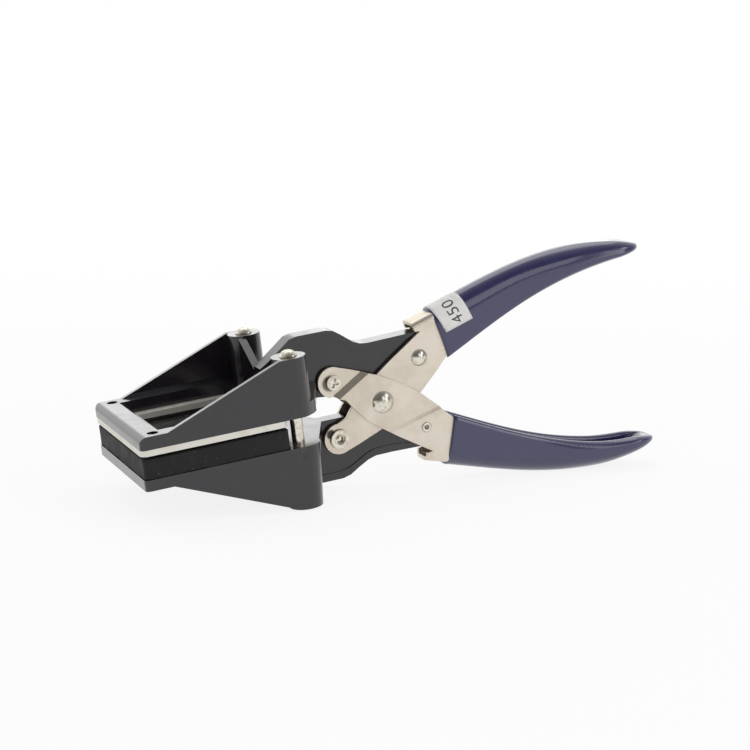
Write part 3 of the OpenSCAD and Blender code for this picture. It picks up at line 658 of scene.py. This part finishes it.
# %% Handles and fastenings
eased("handle_a", nickel_a, 0.22, weld_mm=0.05)
eased("handle_b", nickel_b, 0.22, weld_mm=0.05)
for node in ("front_screw", "front_nut", "front_rivet", "slot_rivet_lower"):
    eased(node, bright_nickel, 0.15)
for node, material in (
    ("main_rivet", bright_nickel),
    ("slot_rivet_upper", bright_nickel),
    ("guide_pin_near", bright_nickel),
    ("guide_pin_far", bright_nickel),
    ("guide_bush_near", sintered_bronze),
    ("guide_bush_far", sintered_bronze),
    ("pivot_spacer", bright_nickel),
):
    part = frame["nodes"][node]
    part.data.materials.clear()
    part.data.materials.append(material)
    print(node, "keeps its shape, in", material.name)

# %% [markdown]
# ## Meshes from rows of points
# Grips, label and spring are all lofts: rows of points, one row after another
# along a line, joined by faces. A row round a trough goes down its outside and
# back up its inside, and its ends are closed by a strip of faces between the two.

# %% Loft helpers


def make_piece(name, points, faces, material, body):
    """A smooth mesh piece that rides on a body."""
    mesh = bpy.data.meshes.new(name)
    mesh.from_pydata([tuple(p) for p in points], [], faces)
    mesh.polygons.foreach_set("use_smooth", [True] * len(mesh.polygons))
    mesh.materials.append(material)
    piece = bpy.data.objects.new(name, mesh)
    bpy.context.scene.collection.objects.link(piece)
    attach(piece, body)
    print(name, len(mesh.vertices), "points")
    return piece


def loft(rows, trough=True):
    """Points and faces of a skin over closed rows of the same count, with both ends closed."""
    n = len(rows[0])
    faces = [
        (i * n + j, i * n + (j + 1) % n, (i + 1) * n + (j + 1) % n, (i + 1) * n + j)
        for i in range(len(rows) - 1)
        for j in range(n)
    ]
    last = (len(rows) - 1) * n
    if trough:
        for j in range(n // 2 - 1):
            faces.append((j + 1, j, n - 1 - j, n - 2 - j))
            faces.append((last + j, last + j + 1, last + n - 2 - j, last + n - 1 - j))
    else:
        faces += [tuple(range(n - 1, -1, -1)), tuple(range(last, last + n))]
    return [p for row in rows for p in row], faces


def arc(centre, radius, start, end, steps):
    """Points on an arc, angles in degrees."""
    angles = [math.radians(start + (end - start) * i / steps) for i in range(steps + 1)]
    return [(centre[0] + radius * math.cos(a), centre[1] + radius * math.sin(a)) for a in angles]


print("a half round of 6 steps has", len(arc((0, 0), 1, 0, 180, 6)), "points")

# %% [markdown]
# ## The curve of a grip
# A grip could be a box with rounded corners bent along a curve, but its section
# changes all the way: deep and open at the steel, shallow and closed at the tip.
# So it is a loft. Two cubic curves, in drawn millimetres, give its back and its
# rim in the side view. A share of the length, from 0 to 1, says where a section is.

# %% Grip curves
grip_back = [(23, 33), (52, 41), (88, 57), (127.3, 45)]
grip_rim = [(32.6, 12.9), (58, 25), (84, 40), (126.6, 41.3)]
grip_half_width, tip_flare = 7.02, 0.5
flare_from, flare_over = 0.45, 0.4


def cubic(control, t):
    """A point on a cubic curve."""
    weights = ((1 - t) ** 3, 3 * t * (1 - t) ** 2, 3 * t * t * (1 - t), t**3)
    return Vector([sum(w * p[k] for w, p in zip(weights, control)) for k in (0, 1)])


def smooth(x):
    """0 below 0, 1 above 1 and an even rise between."""
    x = min(max(x, 0), 1)
    return x * x * (3 - 2 * x)


def grip_at(t):
    """Back point, direction to the rim, depth and half width of a grip at a share of its length."""
    back, rim = cubic(grip_back, t), cubic(grip_rim, t)
    across = rim - back
    half = grip_half_width + tip_flare * smooth((t - flare_from) / flare_over)
    return back, across.normalized(), across.length, half


print("a grip is", round(grip_at(0)[2], 1), "mm deep at the steel and", round(grip_at(1)[2], 1), "at the tip")

# %% [markdown]
# ## The section of a grip
# Each section is a channel with oval corners and a thick round lip, because
# liquid vinyl draws back from an edge and leaves a bead. Towards the end the
# sides bulge, because only vinyl is left there.

# %% Grip section
corner, corner_depth, corner_limit = 5.8, 8.5, 0.45
rim_thickness, bead, bead_limit, inner_corner = 3.5, 1.7, 0.22, 1
side_bulge, bulge_at, bulge_from, bulge_over = 1.5, 0.72, 0.4, 0.35
least_hollow, hollow_left, hollow_ends_at, hollow_ends_over = 0.3, 0.1, 0.9, 0.09
low_limit, inner_corner_limit, inner_side_share = 0.5, 0.4, 0.2
lip_steps, side_steps, corner_steps = 6, 6, 9


def back_corner(depth, half, lift=0.0, steps=corner_steps):
    """Points round the oval corner between a grip's side and its back, lifted off it."""
    long = min(corner_depth, depth * corner_limit)
    wide = min(corner, depth * corner_limit)
    turns = [math.radians(90 * i / steps) for i in range(steps + 1)]
    return [(long - (long + lift) * math.sin(a), wide - half - (wide + lift) * math.cos(a)) for a in turns]


def bulge(f):
    """How far a side swells, from 0 to 1, at a share of a section's depth."""
    reach = bulge_at if f < bulge_at else 1 - bulge_at
    return max(0, 1 - ((f - bulge_at) / reach) ** 2)


def grip_section(t):
    """Depth and side of each point round a grip's wall: down its outside, then up its inside."""
    _, _, depth, half = grip_at(t)
    lip = min(bead, depth * bead_limit)
    inner_half = half - rim_thickness
    closing = smooth((t - hollow_ends_at) / hollow_ends_over)
    hollow = max(depth - rim_thickness, least_hollow) * (1 - closing) + hollow_left
    low = min(lip, hollow * low_limit)
    inner_round = min(inner_corner, hollow * inner_corner_limit)
    corner_line = back_corner(depth, half)
    side_height = corner_line[0][0] - depth + lip
    outer = arc((depth - lip, lip - half), lip, 0, -90, lip_steps)
    outer += [(depth - lip + side_height * i / side_steps, -half) for i in range(1, side_steps)]
    outer += corner_line
    swell = side_bulge * smooth((t - bulge_from) / bulge_over) / half
    outer = [(d, side * (1 + swell * bulge(d / depth))) for d, side in outer]
    turns = [math.radians(90 * i / lip_steps) for i in range(lip_steps + 1)]
    inner = [(depth - low + low * math.cos(a), -inner_half - lip + lip * math.sin(a)) for a in turns]
    inner_side = inner_side_share * (hollow - low - inner_round)
    inner += [(depth - low - inner_side * i / side_steps, -inner_half) for i in range(1, side_steps)]
    corner_centre = (depth - hollow + inner_round, inner_round - inner_half)
    inner += arc(corner_centre, inner_round, -90, -180, corner_steps)
    outer += [(d, -s) for d, s in reversed(outer)]
    inner += [(d, -s) for d, s in reversed(inner)]
    return outer + inner[::-1]


print("a section has", len(grip_section(0)), "points")

# %% [markdown]
# ## The ends of a grip
# The skin ends a little further along the back than along the rim, as it ran when
# the handle hung in the dip, and its front edge is round. At the tip the sections
# shrink as an arc does, each towards its own point near the back. The lower grip's
# end curls up a little.

# %% Grip rows
front_end, body_run, body_steps = 0.002, 0.878, 44
tip_start, tip_end, nose_depth, nose_power = 0.9, 0.998, 0.28, 0.8
nose_angles = (0, 10, 20, 30, 39, 47, 54, 61, 67, 73, 78, 82, 85, 87)
back_lead, lead_loss, lead_curve, lead_reach, grip_run = 2.8, 1.5, 2.5, 0.2, 90
lower_end_rise, rise_from = 1.2, 0.75
rounded_front, most_inset = ((0.0, 1.0), (0.25, 0.4), (0.8, 0.0)), 0.8


def slanted(t, j):
    """A section's share of the length, moved on at the back and back at the rim near the front end."""
    f = min(max(grip_section(t)[j][0] / grip_at(t)[2], 0), 1)
    lead_mm = back_lead - lead_loss * f - lead_curve * f * f
    return t + lead_mm / grip_run * max(0, 1 - t / lead_reach)


def front_rows(first, second):
    """Rows that round the front end: each goes on a little and is drawn in to the middle of the skin."""
    rows = []
    for on, inset in rounded_front:
        row = []
        for j, p in enumerate(first):
            to_middle = (first[-1 - j] - p) / 2
            forward = (second[j] - p).normalized()
            share = min(inset / mm_in_metre / to_middle.length, most_inset) if to_middle.length > 0 else 0
            row.append(p + forward * on / mm_in_metre + to_middle * share)
        rows.append(row)
    return rows


def grip_rows(mirror):
    """Rows of points for a whole grip; mirror is -1 for the lower one."""
    stations = [(front_end + body_run * i / body_steps, 0) for i in range(body_steps + 1)]
    for a in nose_angles:
        stations.append((tip_start + (tip_end - tip_start) * math.sin(math.radians(a)), a))
    rows = []
    for t, a in stations:
        squeeze = math.cos(math.radians(a)) ** nose_power
        rise = lower_end_rise * smooth((t - rise_from) / (1 - rise_from)) if mirror < 0 else 0
        row = []
        for j in range(len(grip_section(t))):
            own = slanted(t, j)
            back, inward, depth, _ = grip_at(own)
            d, side = grip_section(own)[j]
            d = depth * nose_depth + (d - depth * nose_depth) * squeeze
            p = back + inward * d
            row.append(bench(p.x, side * squeeze, mirror * p.y + rise))
        rows.append(row)
    rows[0:1] = front_rows(rows[0], rows[1])
    if mirror < 0:
        rows = [row[::-1] for row in rows]
    return rows


print("sections along a grip:", body_steps + 1 + len(nose_angles))

# %% [markdown]
# ## The two grips
# Both handles were dipped in the same way, so one loop makes both grips, the lower
# one mirrored. Each takes the place of the plain grip among the measured parts.

# %% Grips
for node, mirror, body in (("grip_upper", 1, "handle_b_body"), ("grip_lower", -1, "handle_a_body")):
    sleeve = make_piece(node + "_sleeve", *loft(grip_rows(mirror)), navy_vinyl, body)
    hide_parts(node)

# %% [markdown]
# ## The label
# A strip of film is wrapped once round the back of the upper grip, with the
# number of the cut printed across it. The strip follows the grip's own section,
# 0.15 mm further out.

# %% Label
label_from, label_to, label_depth, label_steps = 0.045, 0.19, 11.5, 12
film_inside, film_outside = 0.02, 0.15


def label_line(t, lift, steps=corner_steps):
    """Points round the grip's outside at a share of its length, lifted off it, side to side."""
    _, _, depth, half = grip_at(t)
    line = [(label_depth, -half - lift), ((label_depth + corner_depth) / 2, -half - lift)]
    line += back_corner(depth, half, lift, steps)
    return line + [(d, -s) for d, s in reversed(line)]


def on_grip(t, d, side):
    """The bench point at a share of the upper grip's length, a depth and a side."""
    back, inward, _, _ = grip_at(t)
    p = back + inward * d
    return bench(p.x, side, p.y)


rows = []
for i in range(label_steps + 1):
    t = label_from + (label_to - label_from) * i / label_steps
    outside = [on_grip(t, d, s) for d, s in label_line(t, film_outside)]
    inside = [on_grip(t, d, s) for d, s in label_line(t, film_inside)]
    rows.append(outside + inside[::-1])
label = make_piece("label_strip", *loft(rows), label_film, "handle_b_body")
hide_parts("grip_label")

# %% [markdown]
# ## Round the label's surface
# To print on the film, a flat distance has to be walked round the grip: up its
# near side, round the corner and over its back. The ink lies a hair above the film.

# %% A point on the label
print_lift, print_steps = 0.165, 14


def wrapped(t, distance):
    """The point at a distance in millimetres up the near side and over the back, just off the label."""
    line = label_line(t, print_lift, print_steps)
    for (d0, s0), (d1, s1) in zip(line, line[1:]):
        step = math.hypot(d1 - d0, s1 - s0)
        if distance <= step:
            k = distance / step
            return on_grip(t, d0 + (d1 - d0) * k, s0 + (s1 - s0) * k)
        distance -= step
    return on_grip(t, *line[-1])


label_run = (cubic(grip_back, label_to) - cubic(grip_back, label_from)).length
print("the label runs", round(label_run, 1), "mm along the grip")

# %% [markdown]
# ## The numbers on the label
# Type could be a picture laid on the film, but faces stay sharp from close up. It
# is set flat, turned into faces, cut finely and then wrapped round the section.

# %% Numbers
type_size, type_spacing, type_foot, type_start = 7.4, 1.05, 3.8, 1.2
longest_edge, cut_rounds = 0.5, 2
type_set = bpy.data.curves.new("size_numbers", "FONT")
type_set.body = "450"
type_set.size = type_size
type_set.space_character = type_spacing
type_set.align_x = "LEFT"
flat_type = bpy.data.objects.new("size_numbers_flat", type_set)
bpy.context.scene.collection.objects.link(flat_type)
bpy.context.view_layer.update()
evaluated_type = flat_type.evaluated_get(bpy.context.evaluated_depsgraph_get())
flat_mesh = bpy.data.meshes.new_from_object(evaluated_type)
bpy.data.objects.remove(flat_type)
cut = bmesh.new()
cut.from_mesh(flat_mesh)
bmesh.ops.triangulate(cut, faces=cut.faces)
for _ in range(cut_rounds):
    too_long = [e for e in cut.edges if e.calc_length() > longest_edge]
    bmesh.ops.subdivide_edges(cut, edges=too_long, cuts=1)
    bmesh.ops.triangulate(cut, faces=cut.faces)
cut.verts.index_update()
points = []
for v in cut.verts:
    t = label_from + (label_to - label_from) * (1 - (v.co.y + type_foot) / label_run)
    points.append(wrapped(t, type_start + v.co.x))
faces = [[v.index for v in f.verts] for f in cut.faces]
cut.free()
make_piece("size_numbers", points, faces, printing_ink, "handle_b_body")

# %% [markdown]
# ## The return spring
# A short torsion spring sits round the spacer between the handle plates. Wire is
# a circle carried along a path. The path leaves the coil on a tangent at both
# ends, to press on the two jaw arms.

# %% Return spring
wire_radius, coil_radius, turns, pitch = 0.53, 5.95, 3.5, 1.65
steps_per_turn, wire_sides = 28, 12
start_y = -turns * pitch / 2
leg = [Vector((x, start_y, z)) for x, z in ((-7, 8.1), (-5.0, 7.5), (-3.0, 6.9), (-1.6, 6.4))]
path = list(leg)
steps = int(turns * steps_per_turn)
for i in range(steps + 1):
    a = math.radians(90 - 360 * turns * i / steps)
    y = start_y + pitch * turns * i / steps
    path.append(Vector((coil_radius * math.cos(a), y, coil_radius * math.sin(a))))
path += [Vector((p.x, -start_y, -p.z)) for p in reversed(leg)]
rows = []
for i, p in enumerate(path):
    run = (path[min(i + 1, len(path) - 1)] - path[max(i - 1, 0)]).normalized()
    out = run.cross(Vector((0, 1, 0))).normalized()
    up = out.cross(run).normalized()
    round_wire = [math.tau * k / wire_sides for k in range(wire_sides)]
    rows.append([bench(*(p + wire_radius * (math.cos(a) * out + math.sin(a) * up))) for a in round_wire])
spring = make_piece("return_spring_wire", *loft(rows, trough=False), drawn_wire, "handle_b_body")
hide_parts("return_spring")
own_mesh(spring)

# %% [markdown]
# ## The stripper pad
# A block of rubber round the punch holds the print flat and pushes it off again.
# It starts as the measured block. Its corners are rounded and its faces are cut
# finely, so that there are enough points to give it the surface of a soft thing.

# %% Stripper pad block
# Edges are cut until they are no longer than 16 mm, then than 8 mm and so on
cut_lengths_mm = (16, 8, 4, 2, 1.6)
weld_mm, pad_edge_mm = 0.002, 0.5

block = bmesh.new()
block.from_mesh(frame["nodes"]["stripper_pad"].data)
bmesh.ops.remove_doubles(block, verts=block.verts, dist=weld_mm / mm_in_metre)
bmesh.ops.dissolve_limit(block, angle_limit=flat_within, verts=block.verts, edges=block.edges)
corners = [e for e in block.edges if len(e.link_faces) == 2 and e.calc_face_angle() > sharp]
bmesh.ops.bevel(
    block,
    geom=corners,
    offset=pad_edge_mm / mm_in_metre,
    segments=2,
    profile=0.5,
    affect="EDGES",
    clamp_overlap=True,
)
bmesh.ops.triangulate(block, faces=block.faces)
for longest in cut_lengths_mm:
    too_long = [e for e in block.edges if e.calc_length() > longest / mm_in_metre]
    bmesh.ops.subdivide_edges(block, edges=too_long, cuts=1)
    bmesh.ops.triangulate(block, faces=block.faces)
block.normal_update()
print("pad block:", len(block.verts), "points")

# %% [markdown]
# ## The pad's surface
# The pad is moulded plain, but its lower edge is squeezed out of shape where it is
# glued down. Noise moves the points a little, about a tenth of a millimetre, and
# more along the lower edge.

# %% Stripper pad surface
squeezed_height, flat_margin = 1.6, 0.02
# Noise per metre: lumps of about 5.6 and 1.4 mm, and of 2.4 mm along the lower edge
coarse, fine, ragged_edge = 180, 700, 420
coarse_lump, fine_lump, pressed_out, pressed_unevenly = 0.1, 0.04, 0.15, 0.3
another_place = Vector((7, 3, 1))


def from_lowest(face):
    """The same face, begun at its lowest point number."""
    start = face.index(min(face))
    return face[start:] + face[:start]


heights = [drawn(v.co).z for v in block.verts]
pad_bottom, pad_top = min(heights), max(heights)
for v, z, out in zip(list(block.verts), heights, [v.normal.copy() for v in block.verts]):
    low = 1 - smooth((z - pad_bottom) / squeezed_height)
    lump = noise.noise(v.co * coarse) * coarse_lump + noise.noise(v.co * fine) * fine_lump
    uneven = noise.noise(v.co * ragged_edge + another_place)
    squeezed = low * (pressed_out + pressed_unevenly * uneven)
    if pad_bottom + flat_margin < z < pad_top - flat_margin:
        v.co += out * (lump + squeezed) / mm_in_metre
# Cutting leaves the faces in a chance order, so points and faces are sorted by place
by_place = sorted(block.verts, key=lambda v: v.co[:])
number = {v: i for i, v in enumerate(by_place)}
faces = sorted(from_lowest([number[v] for v in f.verts]) for f in block.faces)
points = [v.co[:] for v in by_place]
block.free()
pad_body = frame["nodes"]["stripper_pad"]["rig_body"]
pad = make_piece("stripper_pad_moulded", points, faces, nitrile_rubber, pad_body)
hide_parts("stripper_pad")
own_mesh(pad)
print("pad:", round(pad_top - pad_bottom, 2), "mm high")

# %% [markdown]
# ## Who is looking
# A white background needs no strong light. What the camera sees directly can
# simply be white, while the light that falls on the tool is set apart from it. A
# node tells which kind of ray asks, and mirrors and glass are answered as the
# camera is, so that a reflection shows the same studio.

# %% Who is looking


def seen_directly(tree):
    """1 for the camera, for mirrors and for glass, 0 for the light that falls on things."""
    ray = add(tree, "ShaderNodeLightPath").outputs
    either = add(
        tree, "ShaderNodeMath", {0: ray["Is Camera Ray"], 1: ray["Is Glossy Ray"]}, operation="MAXIMUM"
    )
    return add(tree, "ShaderNodeMath", {0: either, 1: ray["Is Transmission Ray"]}, operation="MAXIMUM")


print("camera, mirrors and glass see the background; everything else sees the fill light")

# %% [markdown]
# ## The floor
# The tool stands on a white paper sweep. The paper is nearly white by itself and
# takes the tool's soft shadow. A glow that lights nothing, but shows directly and
# in reflections, washes it out more and more with the distance, until it meets
# the white behind it without a line.

# %% Floor
floor_reach, near_glow = 6.0, 0.86
wash_from, wash_to = 0.2, 0.75
corners = [(-floor_reach, -floor_reach), (floor_reach, -floor_reach)]
corners += [(floor_reach, floor_reach), (-floor_reach, floor_reach)]
floor_mesh = bpy.data.meshes.new("floor")
floor_mesh.from_pydata([(x, y, 0) for x, y in corners], [], [(0, 1, 2, 3)])
floor = bpy.data.objects.new("floor", floor_mesh)
bpy.context.scene.collection.objects.link(floor)
floor_paper, tree, shader, where = start_material(
    "white_paper_sweep", Base_Color=colour("#f6f6f6"), Roughness=0.9
)
distance = add(tree, "ShaderNodeVectorMath", {0: where}, operation="LENGTH").outputs["Value"]
washed_out = overlap(tree, (distance, wash_from, wash_to, near_glow, 1.0))
share = add(tree, "ShaderNodeMath", {0: washed_out, 1: seen_directly(tree)}, operation="MULTIPLY")
glow = add(tree, "ShaderNodeEmission", {"Color": colour("#ffffff"), "Strength": 1.0})
paper = add(tree, "ShaderNodeMixShader", {0: share, 1: shader, 2: glow})
output = next(n for n in tree.nodes if n.type == "OUTPUT_MATERIAL")
tree.links.new(paper.outputs[0], output.inputs["Surface"])
floor.data.materials.append(floor_paper)
print("floor:", 2 * floor_reach, "m square")

# %% [markdown]
# ## The studio walls
# The world fills the shadows with an even light. The camera sees it plain white.
# A glossy surface sees walls that are pale behind the tool and dark in front of
# it, and it is those dark walls that keep black enamel black.

# %% Studio walls
fill_light = 0.66
dark_wall, pale_wall = 0.15, 0.95
dark_from, pale_from = -0.8, 0.7
world = bpy.data.worlds.new("studio")
world.use_nodes = True
tree = world.node_tree
tree.nodes.clear()
direction = add(tree, "ShaderNodeTexCoord").outputs["Generated"]
facing = add(tree, "ShaderNodeSeparateXYZ", {0: direction})
walls = overlap(tree, (facing.outputs["Y"], dark_from, pale_from, dark_wall, pale_wall))
ray = add(tree, "ShaderNodeLightPath").outputs
brightness = add(tree, "ShaderNodeMath", {0: walls, 1: ray["Is Camera Ray"]}, operation="MAXIMUM")
fill = add(tree, "ShaderNodeBackground", {"Color": colour("#ffffff"), "Strength": fill_light})
backdrop = add(tree, "ShaderNodeBackground", {"Color": colour("#ffffff"), "Strength": brightness})
mixed = add(tree, "ShaderNodeMixShader", {0: seen_directly(tree), 1: fill, 2: backdrop})
add(tree, "ShaderNodeOutputWorld", {"Surface": mixed})
bpy.context.scene.world = world
print("world: fill", fill_light, "walls", dark_wall, "to", pale_wall)

# %% [markdown]
# ## Lights
# All lights are soft rectangles. The tops of the black castings mirror the two
# behind the tool and look pale for it. A broad one overhead draws the band along
# the backs of the grips, one from the right lights the nickel, and two in front on
# the right draw the long soft bands on the sides of the grips.

# %% Lights


def softbox(name, at, toward, width, height, radiance):
    """A soft rectangular light of an even brightness, where 1 is paper white."""
    data = bpy.data.lights.new(name, "AREA")
    data.shape = "RECTANGLE"
    data.size, data.size_y = width, height
    data.energy = radiance * math.pi * width * height
    light = bpy.data.objects.new(name, data)
    light.location = at
    light.rotation_mode = "QUATERNION"
    light.rotation_quaternion = (Vector(toward) - Vector(at)).to_track_quat("-Z", "Y")
    light.visible_camera = False
    bpy.context.scene.collection.objects.link(light)
    print(name, width, "by", height, "m at", radiance)


softbox("light_behind", (-0.1, 1.3, 0.45), (-0.1, 0, 0.05), 2.6, 0.7, 0.3)
softbox("light_low_behind", (0.28, 1.09, 0.32), (-0.1, 0, 0.03), 0.75, 0.24, 0.8)
softbox("light_over_the_back", (0.1, 0.55, 1.2), (0, 0, 0), 1.2, 0.7, 1.1)
softbox("light_from_the_right", (0.95, -0.75, 0.85), (0, 0, 0.03), 0.42, 0.42, 2.9)
softbox("light_front_right", (0.75, -0.96, 0.33), (0.08, 0, 0.08), 0.38, 0.6, 1.9)
softbox("light_front_tall", (0.32, -1.219, 0.52), (0.08, 0, 0.08), 0.34, 0.67, 1.4)

# %% [markdown]
# ## Picture settings
# The colours were matched with the plain view, which shows a value as it is.

# %% Picture settings
bpy.context.scene.view_settings.view_transform = "Standard"
print("view transform:", bpy.context.scene.view_settings.view_transform)

# %% [markdown]
# ## The end
# The scene is brought up to date.

# %% The end
bpy.context.view_layer.update()
